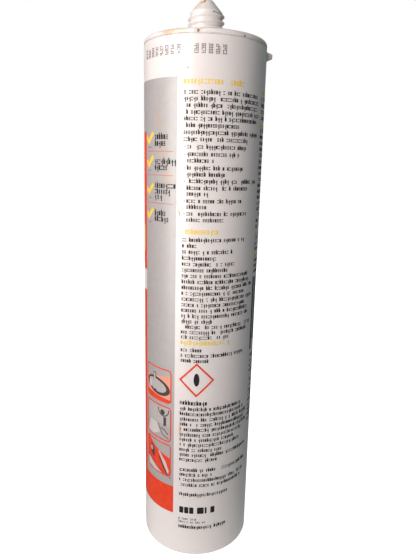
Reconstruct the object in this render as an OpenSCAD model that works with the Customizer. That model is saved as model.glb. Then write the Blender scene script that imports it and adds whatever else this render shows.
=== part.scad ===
// Sealant cartridge: a moulded barrel with an open base and a closed, threaded neck, the piston
// that slides in its bore, and the fill between the piston and the neck's tip.
// The origin is on the barrel's axis in the plane of the open base, +Z points to the neck,
// and +X points to the lug on the barrel's side.

/* [Barrel] */
// Outside diameter of the barrel
barrel_d = 49.6; // [40:0.1:60]
// Thickness of the barrel's wall
wall = 1.45; // [1.1:0.05:2.4]
// Height from the open base to the flat top of the shoulder
body_h = 222; // [180:0.5:300]
// Thickness of the shoulder that closes the top
shoulder_t = 2.2; // [1.8:0.1:4]
// Radius of the shoulder's rounded outer edge
shoulder_round = 1.5; // [0.6:0.1:2]
// Radius of the fillet in the corner under the shoulder
corner_fillet = 1.0; // [0.4:0.1:1.4]
// Depth of the fine groove that runs round under the shoulder's edge
groove_depth = 0.25; // [0.1:0.05:0.5]
// Height of that groove
groove_h = 0.8; // [0.3:0.1:1.5]
// Distance of the groove's middle below the shoulder's top
groove_drop = 2.2; // [1.8:0.1:6]
// Height of the tapered lead-in at the open base
lead_in_h = 3.0; // [1:0.5:8]
// How far the lead-in opens the bore, on the radius
lead_in = 0.5; // [0.2:0.1:0.6]
// Radius of the base rim's outer edge
base_round = 0.3; // [0.1:0.1:0.4]

/* [Neck] */
// Height from the shoulder's top to the end of the tip
neck_h = 15.5; // [13:0.5:24]
// Thickness of the neck's wall
neck_wall = 1.4; // [1:0.1:2]
// Radius of the fillet where the neck rises from the shoulder
neck_fillet = 0.6; // [0.3:0.1:1]
// Height of the closed cone at the end of the neck
cone_h = 4.7; // [3:0.1:8]
// Diameter of the cone at its blunt end, before its edge is rounded
tip_d = 4.8; // [4:0.1:7]
// Thickness of the plastic that closes the tip
tip_t = 1.0; // [0.6:0.1:2]
// Radius of the tip's rounded edge
tip_round = 0.9; // [0.3:0.1:1.2]

/* [Thread] */
// Outside diameter of the thread for the nozzle
thread_d = 14.6; // [12:0.1:19]
// Depth of the thread, from its crest to the neck
thread_depth = 0.85; // [0.5:0.05:1.1]
// Rise of the thread in one turn
thread_pitch = 2.3; // [1.9:0.1:2.8]
// Turns of the thread
thread_turns = 3.75; // [2:0.25:4]
// Distance from the cone's foot down to the middle of the thread's last turn
thread_drop = 0.6; // [0.6:0.1:2]
// Angle from +X at which the thread ends, seen from above
thread_end_angle = 100; // [0:5:355]
// Height of the thread's ridge where it leaves the neck
thread_root_h = 1.5; // [1:0.1:1.8]
// Height of the thread's flat crest
thread_crest_h = 0.6; // [0.3:0.1:0.9]

/* [Lug] */
// Distance of the lug's middle below the shoulder's top
lug_drop = 5.1; // [4.5:0.1:12]
// Diameter of the lug at the barrel
lug_root_d = 3.3; // [2.5:0.1:5]
// Diameter of the lug at its nose
lug_nose_d = 2.1; // [1.5:0.1:2.4]
// How far the lug stands out from the barrel
lug_reach = 2.2; // [1.2:0.1:4]
// Radius of the nose's rounded edge
lug_round = 0.5; // [0.2:0.1:0.7]

/* [Piston] */
// Distance from the open base up to the piston's rear edge
piston_inset = 37; // [5:0.5:80]
// Height of the piston
piston_h = 18; // [14:0.5:24]
// Clearance between the piston's lips and the bore, on the radius
piston_clearance = 0.08; // [0.03:0.01:0.1]
// Thickness of the piston's front wall
piston_front_t = 1.6; // [1.2:0.1:2.5]
// Thickness of the piston's skirt
skirt_t = 1.2; // [0.8:0.1:1.8]
// Height of each sealing lip's band
lip_h = 2.0; // [1.2:0.1:3]
// How far the lips stand out from the skirt
lip_reach = 0.7; // [0.4:0.1:1.2]
// Radius of the piston's rounded front edge
piston_round = 1.5; // [1.4:0.1:2.5]
// Outside diameter of the bead that the gun's plate pushes on
bead_d = 28; // [16:0.5:30]
// Height of that bead
bead_h = 0.8; // [0.4:0.1:1.5]
// Thickness of that bead
bead_t = 1.6; // [1:0.1:3]

/* [Fill] */
// Gap between the fill and the plastic that holds it
fill_gap = 0.1; // [0.05:0.05:0.3]
// Gap between the fill and the piston's front
piston_gap = 0.3; // [0.2:0.05:0.5]

/* [Hidden] */
$fn = 96;
BEYOND = 1; // how far a cut runs past the surface that it opens
EMBED = 0.4; // how far the thread's ridge reaches into the neck
LIP_TAPER_H = 0.8; // height of the taper between a lip's band and the skirt
THREAD_STEPS = 36; // sections of the thread in one turn
FADE_TURNS = 0.25; // length of the thread's run-out at each end, in turns

barrel_r = barrel_d / 2;
bore_r = barrel_r - wall;
thread_r = thread_d / 2;
neck_r = thread_r - thread_depth;
neck_bore_r = neck_r - neck_wall;
tip_r = tip_d / 2;
ceiling_z = body_h - shoulder_t;
tip_z = body_h + neck_h;
cone_z = tip_z - cone_h;
tip_floor_z = tip_z - tip_t;
groove_z = body_h - max(groove_drop, shoulder_round + groove_h / 2);

// The cone's inside runs parallel to its outside, the neck's wall in from it.
cone_lean = atan((neck_r - tip_r) / cone_h);
tip_bore_r = neck_bore_r - tan(cone_lean) * (tip_floor_z - cone_z);

// Centre of the round that touches both the cone's flank and its flat end.
tip_round_x = tip_r - tip_round * (1 - sin(cone_lean)) / cos(cone_lean);
tip_round_z = tip_z - tip_round;

lip_r = bore_r - piston_clearance;
skirt_r = lip_r - lip_reach;
cup_r = skirt_r - skirt_t;
cup_z = piston_h - piston_front_t;
front_lip_z = piston_h - piston_round - lip_h;

fill_z = piston_inset + piston_h + piston_gap;
fill_top_z = ceiling_z - fill_gap;
fill_r = bore_r - fill_gap;
plug_r = neck_bore_r - fill_gap;
plug_tip_r = tip_bore_r - fill_gap;
plug_tip_z = tip_floor_z - fill_gap;

// Half section of a round column from z0 to z1, with a rounded edge at its top and its base.
module column_section(r, z0, z1, top_round = 0, foot_round = 0) {
    polygon([[0, z0], [r - foot_round, z0], [r, z0 + foot_round],
             [r, z1 - top_round], [r - top_round, z1], [0, z1]]);
    if (top_round > 0) translate([r - top_round, z1 - top_round]) circle(top_round);
    if (foot_round > 0) translate([r - foot_round, z0 + foot_round]) circle(foot_round);
}

module neck_section() {
    polygon([[0, ceiling_z], [neck_r, ceiling_z], [neck_r, cone_z],
             [tip_round_x + tip_round * cos(cone_lean), tip_round_z + tip_round * sin(cone_lean)],
             [tip_round_x, tip_z], [0, tip_z]]);
    translate([tip_round_x, tip_round_z]) circle(tip_round);
    difference() {
        translate([neck_bore_r, ceiling_z])
            square([neck_wall + neck_fillet, shoulder_t + neck_fillet]);
        translate([neck_r + neck_fillet, body_h + neck_fillet]) circle(neck_fillet);
    }
}

module bore_section() {
    column_section(bore_r, -BEYOND, ceiling_z, corner_fillet);
    polygon([[0, -BEYOND], [bore_r + lead_in, -BEYOND], [bore_r + lead_in, 0],
             [bore_r, lead_in_h], [0, lead_in_h]]);
    polygon([[0, ceiling_z - BEYOND], [neck_bore_r, ceiling_z - BEYOND], [neck_bore_r, cone_z],
             [tip_bore_r, tip_floor_z], [0, tip_floor_z]]);
}

// A fine V-shaped groove with its middle at groove_z.
module groove_section() {
    polygon([[barrel_r - groove_depth, groove_z], [barrel_r, groove_z - groove_h / 2],
             [barrel_r + BEYOND, groove_z - groove_h / 2],
             [barrel_r + BEYOND, groove_z + groove_h / 2], [barrel_r, groove_z + groove_h / 2]]);
}

module shell() {
    rotate_extrude() difference() {
        union() {
            column_section(barrel_r, 0, body_h, shoulder_round, base_round);
            neck_section();
        }
        bore_section();
        groove_section();
    }
}

// How much of its full height the thread's ridge has at a given turn, from 0 to 1.
function thread_rise(turn) = max(0, min(1, turn / FADE_TURNS, (thread_turns - turn) / FADE_TURNS));

// One section of the ridge, from its lower root over the crest to its upper root.
function thread_section(turn) =
    let (foot_r = neck_r - EMBED,
         crest_r = neck_r - EMBED / 2 + (thread_depth + EMBED / 2) * thread_rise(turn))
    [for (p = [[foot_r, -thread_root_h / 2], [crest_r, -thread_crest_h / 2],
               [crest_r, thread_crest_h / 2], [foot_r, thread_root_h / 2]])
        [p[0] * cos(360 * turn), p[0] * sin(360 * turn), p[1] + thread_pitch * turn]];

// A right-hand ridge that starts on +X at z = 0 and climbs for thread_turns.
module thread_ridge() {
    count = round(thread_turns * THREAD_STEPS);
    points = [for (i = [0:count]) each thread_section(i / THREAD_STEPS)];
    sides = [for (i = [0:count - 1], k = [0:3])
        let (a = 4 * i + k, b = 4 * i + (k + 1) % 4) each [[a, a + 4, b], [b, a + 4, b + 4]]];
    last = 4 * count;
    ends = [[0, 1, 2], [0, 2, 3], [last + 3, last + 2, last + 1], [last + 3, last + 1, last]];
    polyhedron(points, concat(sides, ends), convexity = 10);
}

// The lug's root starts inside the wall.
module lug() {
    root_r = lug_root_d / 2;
    nose_r = lug_nose_d / 2;
    translate([barrel_r, 0, body_h - lug_drop]) rotate([0, 90, 0]) rotate_extrude() {
        polygon([[0, -wall / 2], [root_r, -wall / 2], [root_r, 0], [nose_r, lug_reach - lug_round],
                 [nose_r - lug_round, lug_reach], [0, lug_reach]]);
        translate([nose_r - lug_round, lug_reach - lug_round]) circle(lug_round);
    }
}

module cartridge() {
    color([0.93, 0.91, 0.89]) union() {
        shell();
        translate([0, 0, cone_z - thread_drop - thread_pitch * thread_turns])
            rotate([0, 0, thread_end_angle - 360 * thread_turns]) thread_ridge();
        lug();
    }
}

// A cup that opens to the base, with a sealing lip at each end and a bead for the gun's plate.
module piston() {
    color([0.90, 0.90, 0.87]) translate([0, 0, piston_inset]) rotate_extrude() {
        difference() {
            union() {
                column_section(lip_r, front_lip_z, piston_h, piston_round);
                polygon([[0, 0], [lip_r, 0], [lip_r, lip_h], [skirt_r, lip_h + LIP_TAPER_H],
                         [skirt_r, front_lip_z - LIP_TAPER_H], [lip_r, front_lip_z],
                         [0, front_lip_z]]);
            }
            column_section(cup_r, -BEYOND, cup_z, skirt_t);
        }
        translate([bead_d / 2 - bead_t, cup_z - bead_h])
            square([bead_t, bead_h + piston_front_t / 2]);
    }
}

// The fill stands on the piston and reaches up through the neck into the closed tip.
module sealant() {
    color([0.96, 0.96, 0.95]) rotate_extrude() {
        column_section(fill_r, fill_z, fill_top_z, corner_fillet);
        polygon([[0, fill_z], [plug_r, fill_z], [plug_r, cone_z],
                 [plug_tip_r, plug_tip_z], [0, plug_tip_z]]);
    }
}

cartridge();
piston();
sealant();
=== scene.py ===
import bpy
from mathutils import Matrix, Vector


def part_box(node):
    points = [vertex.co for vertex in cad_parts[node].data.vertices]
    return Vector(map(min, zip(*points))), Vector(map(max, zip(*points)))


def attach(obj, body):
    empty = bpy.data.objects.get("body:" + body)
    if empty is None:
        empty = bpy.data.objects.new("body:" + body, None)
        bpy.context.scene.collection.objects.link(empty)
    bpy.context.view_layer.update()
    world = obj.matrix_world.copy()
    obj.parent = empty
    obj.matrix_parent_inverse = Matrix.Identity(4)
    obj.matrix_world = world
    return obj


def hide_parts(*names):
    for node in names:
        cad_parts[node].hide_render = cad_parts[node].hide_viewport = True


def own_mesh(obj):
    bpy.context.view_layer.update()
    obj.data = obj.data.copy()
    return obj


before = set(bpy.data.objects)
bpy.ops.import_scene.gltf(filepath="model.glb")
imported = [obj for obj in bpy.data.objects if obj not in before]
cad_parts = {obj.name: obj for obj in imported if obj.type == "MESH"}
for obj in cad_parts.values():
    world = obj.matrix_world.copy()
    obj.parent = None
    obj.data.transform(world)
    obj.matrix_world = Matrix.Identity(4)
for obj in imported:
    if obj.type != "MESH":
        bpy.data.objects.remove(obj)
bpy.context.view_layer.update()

import math

import bmesh
import bpy
from bpy.props import FloatProperty, FloatVectorProperty, IntProperty, PointerProperty
from mathutils import Matrix, Vector

bl_info = {
    "name": "Sealant cartridge",
    "version": (1, 0, 0),
    "blender": (4, 5, 0),
    "location": "3D View > Sidebar > Cartridge",
    "description": "Builds the moulded barrel, piston, fill and printed artwork of a sealant cartridge",
    "category": "Add Mesh",
}

# Lengths inside the mesh code are in millimetres, and put turns them into metres.
MM = 0.001
BARREL_LOW, BARREL_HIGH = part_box("cartridge")
BARREL_R = -BARREL_LOW.x
TIP_Z = BARREL_HIGH.z
PISTON_LOW, PISTON_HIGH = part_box("piston")
FILL_LOW, FILL_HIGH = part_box("sealant")

# The moulding's fixed sizes, in millimetres. Drops are measured down from the shoulder's flat top.
NECK_H, NECK_WALL, NECK_FILLET = 15.5, 1.4, 0.6
CONE_H, TIP_R, TIP_ROUND, TIP_WALL = 4.7, 2.4, 0.9, 1.0
SHOULDER_WALL, SHOULDER_ROUND, BASE_ROUND = 2.2, 1.5, 0.3
THREAD_TURNS, THREAD_BELOW_CONE = 3.75, 0.6
GROOVE_DROP, LUG_DROP = 2.2, 5.1

# Angle from +X, in degrees, of the line down the barrel that the printed layout is measured from.
FACING = -83.0
# Widest step round the barrel, in degrees, that a printed film bridges with one flat face.
FILM_STEP = 2.5
# How far each kind of film stands out from the wall, in millimetres. Where two cross, the one on
# top stands further out.
FIELD_LIFT, RULE_LIFT, NOTE_LIFT, TICK_LIFT, FRAME_LIFT = 0.030, 0.045, 0.050, 0.055, 0.068
PICTURE_LIFTS = (0.040, 0.051, 0.061, 0.071)
SEGMENTS = 192


# ---------------------------------------------------------------- sizes and colours


def length_prop(name, description, default):
    return FloatProperty(name=name, description=description, default=default, unit="LENGTH")


def colour_prop(name, description, default):
    return FloatVectorProperty(
        name=name, description=description, default=default, subtype="COLOR", size=3, min=0, max=1,
    )


def strength_prop(name, description, default):
    return FloatProperty(name=name, description=description, default=default, min=0)


class CartridgeSizes(bpy.types.PropertyGroup):
    """Sizes of the moulded barrel and its neck"""

    barrel_r: length_prop("Barrel radius", "Outside radius of the barrel", BARREL_R)
    wall: length_prop("Wall", "Thickness of the barrel's wall", 1.45 * MM)
    tip_z: length_prop("Tip height", "Height of the closed tip above the open base", TIP_Z)
    neck_h: length_prop("Neck height", "Height of the neck and its cone above the shoulder", NECK_H * MM)
    thread_r: length_prop("Thread radius", "Outside radius of the nozzle thread", 7.3 * MM)
    thread_depth: length_prop("Thread depth", "Depth of the thread from its crest to the neck", 0.85 * MM)
    thread_pitch: length_prop("Thread pitch", "Rise of the thread in one turn", 2.3 * MM)
    lug_reach: length_prop("Lug reach", "How far the lug stands off the barrel", BARREL_HIGH.x - BARREL_R)


class PistonSizes(bpy.types.PropertyGroup):
    """Sizes of the piston"""

    lip_r: length_prop("Lip radius", "Outside radius of the piston's sealing lips", PISTON_HIGH.x)
    foot_z: length_prop("Rear edge", "Height of the piston's rear edge above the open base", PISTON_LOW.z)
    height: length_prop("Height", "Height of the piston", PISTON_HIGH.z - PISTON_LOW.z)
    bead_r: length_prop("Bead radius", "Outside radius of the bead that the gun's plate pushes on", 14.0 * MM)


class FillSizes(bpy.types.PropertyGroup):
    """Sizes of the sealant that fills the cartridge"""

    column_r: length_prop("Column radius", "Radius of the fill in the barrel", FILL_HIGH.x)
    foot_z: length_prop("Foot", "Height of the fill's flat foot above the open base", FILL_LOW.z)
    ceiling_z: length_prop("Ceiling", "Height where the wide part of the fill ends", 219.7 * MM)
    plug_r: length_prop("Plug radius", "Radius of the fill in the neck", 4.95 * MM)


class PrintLook(bpy.types.PropertyGroup):
    """Colours of the printed artwork"""

    grey: colour_prop("Grey", "Ink of the grey panel", (0.405, 0.392, 0.388))
    red: colour_prop("Red", "Ink of the bands, frames and diamond", (0.85, 0.046, 0.003))
    amber: colour_prop("Amber", "Ink of the warm stretch in the front artwork", (0.86, 0.30, 0.04))
    yellow: colour_prop("Yellow", "Ink of the ticks and headings", (0.95, 0.67, 0.045))
    dark: colour_prop("Dark", "Ink of the small print rows", (0.022, 0.020, 0.021))
    film: length_prop("Film", "How far the small print stands out from the plastic", 0.03 * MM)
    seed: IntProperty(name="Seed", description="Starting number of the random marks and gaps", default=11)


class PlasticLook(bpy.types.PropertyGroup):
    """Colours and finish of the moulded plastics, the marks of use and the painted shade along the groove"""

    barrel: colour_prop("Barrel", "Colour of the barrel's polyethylene", (0.845, 0.815, 0.795))
    piston: colour_prop("Piston", "Colour of the piston's polyethylene", (0.74, 0.745, 0.70))
    sealant: colour_prop("Sealant", "Colour of the uncured paste", (0.84, 0.84, 0.82))
    stain: colour_prop("Stain", "Colour of the dried sealant and adhesive stains", (0.62, 0.33, 0.10))
    # This colour also paints the band of painted shade along the groove under the shoulder.
    dirt_and_shade: colour_prop("Dirt and shade", "Colour of the dark specks", (0.085, 0.055, 0.035))
    roughness: FloatProperty(
        name="Roughness", description="Roughness of the barrel's surface",
        default=0.36, min=0, max=1, subtype="FACTOR",
    )


class StageLook(bpy.types.PropertyGroup):
    """Camera and lights"""

    camera_distance: length_prop("Camera distance", "Distance of the camera from the axis", 212.6 * MM)
    camera_height: length_prop("Camera height", "Height of the camera above the floor", 174.4 * MM)
    key_power: strength_prop("Key light", "Power of the soft light in front, level with the shoulder", 0.50)
    low_power: strength_prop("Low light", "Power of the soft light in front of the barrel's lower half", 0.17)
    side_power: strength_prop("Side light", "Power of the weak light high on the left", 1.6)
    strip_power: strength_prop("Strip light", "Power of the tall light that only shows in the gloss", 5.2)
    top_power: strength_prop("Top light", "Power of the light high in front of the neck", 0.14)
    back_power: strength_prop("Back light", "Power of the light behind, for the side out of sight", 1.5)
    surround: strength_prop("Surround", "Strength of the even light from all round", 0.19)
    bounce: strength_prop("Bounce", "Strength of the light that the floor throws back on the base", 0.62)


# ---------------------------------------------------------------- mesh helpers


def put(bm, name, material, body, sharp=32.0):
    """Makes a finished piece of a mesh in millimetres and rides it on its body."""
    bmesh.ops.scale(bm, vec=(MM, MM, MM), verts=bm.verts)
    if bm.calc_volume(signed=True) < 0:
        bmesh.ops.reverse_faces(bm, faces=bm.faces)
    mesh = bpy.data.meshes.new(name)
    bm.to_mesh(mesh)
    bm.free()
    mesh.shade_smooth()
    mesh.set_sharp_from_angle(angle=math.radians(sharp))
    mesh.materials.append(material)
    piece = bpy.data.objects.new(name, mesh)
    bpy.context.scene.collection.objects.link(piece)
    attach(piece, body)
    return piece


def arc(x, z, radius, start, end, steps):
    """Points on an arc in the turned section, from one angle to another in degrees."""
    angles = [start + (end - start) * i / steps for i in range(steps + 1)]
    return [
        (x + radius * math.cos(math.radians(a)), z + radius * math.sin(math.radians(a)))
        for a in angles
    ]


def turned(bm, section, segments=SEGMENTS, stand_out=None):
    """A closed shell of rings round Z. The section starts and ends on the axis."""
    rings = []
    for r, z in section:
        if r < 1e-6:
            rings.append([bm.verts.new((0, 0, z))])
            continue
        ring = []
        for i in range(segments):
            angle = math.tau * i / segments
            reach = max(r, stand_out(r, z, angle)) if stand_out else r
            ring.append(bm.verts.new((reach * math.cos(angle), reach * math.sin(angle), z)))
        rings.append(ring)
    for low, high in zip(rings, rings[1:]):
        for i in range(segments):
            j = (i + 1) % segments
            corners = [low[0]] if len(low) == 1 else [low[i], low[j]]
            corners += [high[0]] if len(high) == 1 else [high[j], high[i]]
            bm.faces.new(corners)
    bmesh.ops.recalc_face_normals(bm, faces=bm.faces)


def between(start, end, count):
    """Points of the turned section that divide a straight stretch, without its two ends."""
    return [
        (start[0] + (end[0] - start[0]) * i / count, start[1] + (end[1] - start[1]) * i / count)
        for i in range(1, count)
    ]


def thread_reach(neck_r, crest, pitch, start_z):
    """The ridge's radius at a height and an angle: a right-hand thread that fades at both ends."""
    fade, first = 0.25, math.radians(190)
    root_half, crest_half, buried = 0.82, 0.12, 0.2
    low = neck_r - buried

    def reach(r, z, angle):
        if not start_z - 1 < z < start_z + pitch * THREAD_TURNS + 1 or r > crest + 1:
            return 0.0
        best = 0.0
        part = ((angle - first) / math.tau) % 1.0
        for whole in range(math.ceil(THREAD_TURNS)):
            turn = part + whole
            off = abs(z - start_z - pitch * turn)
            if turn > THREAD_TURNS or off > root_half:
                continue
            rise = max(0.0, min(1.0, turn / fade, (THREAD_TURNS - turn) / fade))
            top = low + (crest - low) * rise
            slope = max(0.0, off - crest_half) / (root_half - crest_half)
            eased = slope * slope * (3 - 2 * slope)
            best = max(best, top + (neck_r - top) * eased)
        return best

    return reach


def barrel_section(s):
    """The barrel and neck's section, down the outside from the tip and back up the bore."""
    r, tip = s.barrel_r / MM, s.tip_z / MM
    top, cone_z = tip - s.neck_h / MM, tip - CONE_H
    bore = r - s.wall / MM
    neck = (s.thread_r - s.thread_depth) / MM
    neck_bore, ceiling = neck - NECK_WALL, top - SHOULDER_WALL
    lean = math.atan((neck - TIP_R) / CONE_H)
    mid = TIP_R - TIP_ROUND * (1 - math.sin(lean)) / math.cos(lean)
    section = [(0, tip), (mid * 0.5, tip)]
    section += arc(mid, tip - TIP_ROUND, TIP_ROUND, 90, math.degrees(lean), 8)
    section += between(section[-1], (neck, cone_z), 16) + [(neck, cone_z)]

    foot, flat_r, bend = top + NECK_FILLET, neck + NECK_FILLET, r - SHOULDER_ROUND
    section += between((neck, cone_z), (neck, foot), 102)
    section += arc(flat_r, foot, NECK_FILLET, 180, 270, 7)
    section += between((flat_r, top), (bend, top), 6)
    section += arc(bend, top - SHOULDER_ROUND, SHOULDER_ROUND, 90, 0, 9)

    groove, cut, lip = top - GROOVE_DROP, r - 0.24, r - 0.03
    section += [(r, groove + 0.5), (lip, groove + 0.40), (cut, groove + 0.14), (cut, groove - 0.04)]
    section += [(lip, groove - 0.40), (r, groove - 0.5)]
    section += between((r, groove - 0.5), (r, BASE_ROUND), 60)
    section += arc(r - BASE_ROUND, BASE_ROUND, BASE_ROUND, 0, -90, 5)

    lead_in, corner = 3.15, 1.0
    section += [(bore + 0.65, 0), (bore + 0.5, 0.12), (bore + 0.04, 2.8), (bore, lead_in)]
    section += between((bore, lead_in), (bore, ceiling - corner), 24)
    section += arc(bore - corner, ceiling - corner, corner, 0, 90, 6)
    section += [(neck_bore + 0.2, ceiling), (neck_bore, ceiling + 0.2), (neck_bore, cone_z)]
    floor = tip - TIP_WALL
    section += [(neck_bore - math.tan(lean) * (floor - cone_z), floor), (0, floor)]
    return section


def lug_shell(bm, r, z, reach):
    """The lug on the +X side, a tapered stud whose root flares into the wall."""
    nose, root, edge, flare = 1.05, 1.65, 0.5, 0.45
    buried, seat = -1.0, -0.12
    section = [(0, buried), (root + flare, buried), (root + flare, seat)]
    section += arc(root + flare, flare + seat, flare, 270, 190, 5)[1:]
    section += arc(nose - edge, reach - edge, edge, 12, 90, 6) + [(0, reach)]
    made = bmesh.new()
    turned(made, section, 40)
    bmesh.ops.rotate(made, verts=made.verts, cent=(0, 0, 0), matrix=Matrix.Rotation(math.pi / 2, 3, "Y"))
    bmesh.ops.translate(made, verts=made.verts, vec=(r, 0, z))
    if made.calc_volume(signed=True) < 0:
        bmesh.ops.reverse_faces(made, faces=made.faces)
    merged = bpy.data.meshes.new("lug")
    made.to_mesh(merged)
    made.free()
    bm.from_mesh(merged)
    bpy.data.meshes.remove(merged)


# ---------------------------------------------------------------- printed films


def wide(angle):
    """Length round the barrel, in millimetres, of an angle in degrees from the facing line."""
    return math.radians(angle) * BARREL_R / MM


def at(*points):
    """Points of the flat layout from angles in degrees and heights in millimetres."""
    return [(wide(angle), z) for angle, z in points]


def band(points, width, closed=False):
    """Four-cornered faces along a line of points, mitred where it turns."""
    count = len(points)
    edges = []
    for i, (x, z) in enumerate(points):
        before = points[i - 1] if closed or i else None
        after = points[(i + 1) % count] if closed or i < count - 1 else None
        ways = []
        if before:
            ways.append(Vector((x - before[0], z - before[1])).normalized())
        if after:
            ways.append(Vector((after[0] - x, after[1] - z)).normalized())
        way = sum(ways, Vector((0, 0))).normalized()
        side = Vector((-way.y, way.x))
        half = width / 2 / max(0.3, abs(side.dot(Vector((-ways[0].y, ways[0].x)))))
        edges.append(((x + side.x * half, z + side.y * half), (x - side.x * half, z - side.y * half)))
    spans = range(count if closed else count - 1)
    return [
        [edges[i][0], edges[(i + 1) % count][0], edges[(i + 1) % count][1], edges[i][1]]
        for i in spans
    ]


def box_face(left, right, foot, top):
    return [(left, foot), (right, foot), (right, top), (left, top)]


def round_box(left, right, foot, top, radius, steps=5):
    """The outline of a box with rounded corners."""
    outline = arc(right - radius, top - radius, radius, 90, 0, steps)
    outline += arc(right - radius, foot + radius, radius, 0, -90, steps)
    outline += arc(left + radius, foot + radius, radius, 270, 180, steps)
    outline += arc(left + radius, top - radius, radius, 180, 90, steps)
    return outline


def oval(x, z, across, up, tilt=0.0, steps=24):
    turn = math.radians(tilt)
    points = []
    for i in range(steps):
        a = math.tau * i / steps
        u, v = across * math.cos(a), up * math.sin(a)
        over, rise = u * math.cos(turn) - v * math.sin(turn), u * math.sin(turn) + v * math.cos(turn)
        points.append((x + over, z + rise))
    return points


def wrap(x, z, r):
    """A point of the flat layout, x round the barrel and z up it in millimetres, laid on the wall."""
    angle = math.radians(FACING) + x / BARREL_R * MM
    return (r * math.cos(angle), r * math.sin(angle), z)


def film(bm, faces, lift):
    """Lays flat convex faces round the barrel as one closed film, lift millimetres above the wall."""
    flat = bmesh.new()
    for outline in faces:
        flat.faces.new([flat.verts.new((x, 0, z)) for x, z in outline])
    bmesh.ops.remove_doubles(flat, verts=flat.verts, dist=1e-4)
    low = min(v.co.x for v in flat.verts)
    high = max(v.co.x for v in flat.verts)
    step = math.radians(FILM_STEP) * BARREL_R / MM
    for i in range(math.ceil(low / step), math.floor(high / step) + 1):
        bmesh.ops.bisect_plane(
            flat, geom=flat.verts[:] + flat.edges[:] + flat.faces[:], dist=1e-5,
            plane_co=(i * step, 0, 0), plane_no=(1, 0, 0),
        )
    outer_r, inner_r = BARREL_R / MM + lift, BARREL_R / MM - 0.02
    outer = {v: bm.verts.new(wrap(v.co.x, v.co.z, outer_r)) for v in flat.verts}
    inner = {v: bm.verts.new(wrap(v.co.x, v.co.z, inner_r)) for v in flat.verts}
    for face in flat.faces:
        corners = face.verts[:]
        middle = face.calc_center_median()
        out = Vector(wrap(middle.x, middle.z, 1.0))
        out.z = 0
        top = bm.faces.new([outer[v] for v in corners])
        top.normal_update()
        facing_out = top.normal.dot(out) > 0
        if not facing_out:
            top.normal_flip()
        back = bm.faces.new([inner[v] for v in corners])
        if facing_out:
            back.normal_flip()
        for loop in face.loops:
            if not loop.edge.is_boundary:
                continue
            a, b = loop.vert, loop.link_loop_next.vert
            side = [outer[b], outer[a], inner[a], inner[b]]
            bm.faces.new(side if facing_out else side[::-1])
    flat.free()


def film_piece(name, ink, *layers):
    """One piece of printed films in one ink; each layer is its lift and then its faces."""
    bm = bmesh.new()
    for lift, *faces in layers:
        film(bm, faces, lift)
    put(bm, name, finish(ink), "cartridge", 40)


# ---------------------------------------------------------------- node helpers


def feed(tree, socket, value):
    if isinstance(value, bpy.types.NodeSocket):
        tree.links.new(value, socket)
    else:
        socket.default_value = value


def add(tree, kind, values=(), **settings):
    """A node with its settings and its first inputs, or the inputs that a dict names."""
    node = tree.nodes.new(kind)
    for key, value in settings.items():
        setattr(node, key, value)
    pairs = values.items() if isinstance(values, dict) else enumerate(values)
    for key, value in pairs:
        feed(tree, node.inputs[key], value)
    return node


def sums(tree, operation, *values, clamp=False):
    return add(tree, "ShaderNodeMath", values, operation=operation, use_clamp=clamp).outputs[0]


def times(tree, a, b):
    return sums(tree, "MULTIPLY", a, b)


def plus(tree, a, b):
    return sums(tree, "ADD", a, b)


def minus(tree, a, b, clamp=False):
    return sums(tree, "SUBTRACT", a, b, clamp=clamp)


def vectors(tree, operation, *values, out=0):
    return add(tree, "ShaderNodeVectorMath", values, operation=operation).outputs[out]


def combined(tree, x, y, z):
    return add(tree, "ShaderNodeCombineXYZ", (x, y, z)).outputs[0]


def mixed(tree, factor, a, b):
    node = tree.nodes.new("ShaderNodeMix")
    node.data_type = "RGBA"
    for i, value in ((0, factor), (6, a), (7, b)):
        feed(tree, node.inputs[i], value)
    return node.outputs[2]


def noise(tree, where, scale, detail=2.0, rough=0.5):
    inputs = {"Vector": where, "Scale": scale, "Detail": detail, "Roughness": rough}
    return add(tree, "ShaderNodeTexNoise", inputs).outputs["Fac"]


def graph(tree):
    """Spreads a tree's nodes out in rows so that it can be read."""
    for i, node in enumerate(tree.nodes):
        node.location = (220 * (i % 12), -260 * (i // 12))


# ---------------------------------------------------------------- finishes


# Each ink's material slot, its colour or which of the print's colours it takes, its gloss and how
# strongly it is mottled.
INKS = {
    "ink_grey": ("print_grey", "grey", 0.62, 0.12),
    "ink_mid_grey": ("print_grey", (0.50, 0.475, 0.465), 0.25, 0.12),
    "ink_pale": ("print_grey", (0.66, 0.635, 0.62), 0.25, 0.12),
    "ink_red": ("print_red", "red", 0.03, 0.12),
    "ink_brick": ("print_red", (0.60, 0.085, 0.06), 0.25, 0.12),
    "ink_salmon": ("print_red", (0.86, 0.36, 0.25), 0.25, 0.12),
    "ink_amber": ("print_yellow", "amber", 0.25, 0.12),
    "ink_yellow": ("print_yellow", "yellow", 0.25, 0.12),
    "ink_dark": ("print_dark", "dark", 0.05, 0.03),
    "ink_slate": ("print_dark", (0.070, 0.060, 0.060), 0.05, 0.03),
    "ink_jet": ("print_dark", (0.05, 0.045, 0.05), 0.05, 0.03),
}

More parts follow.
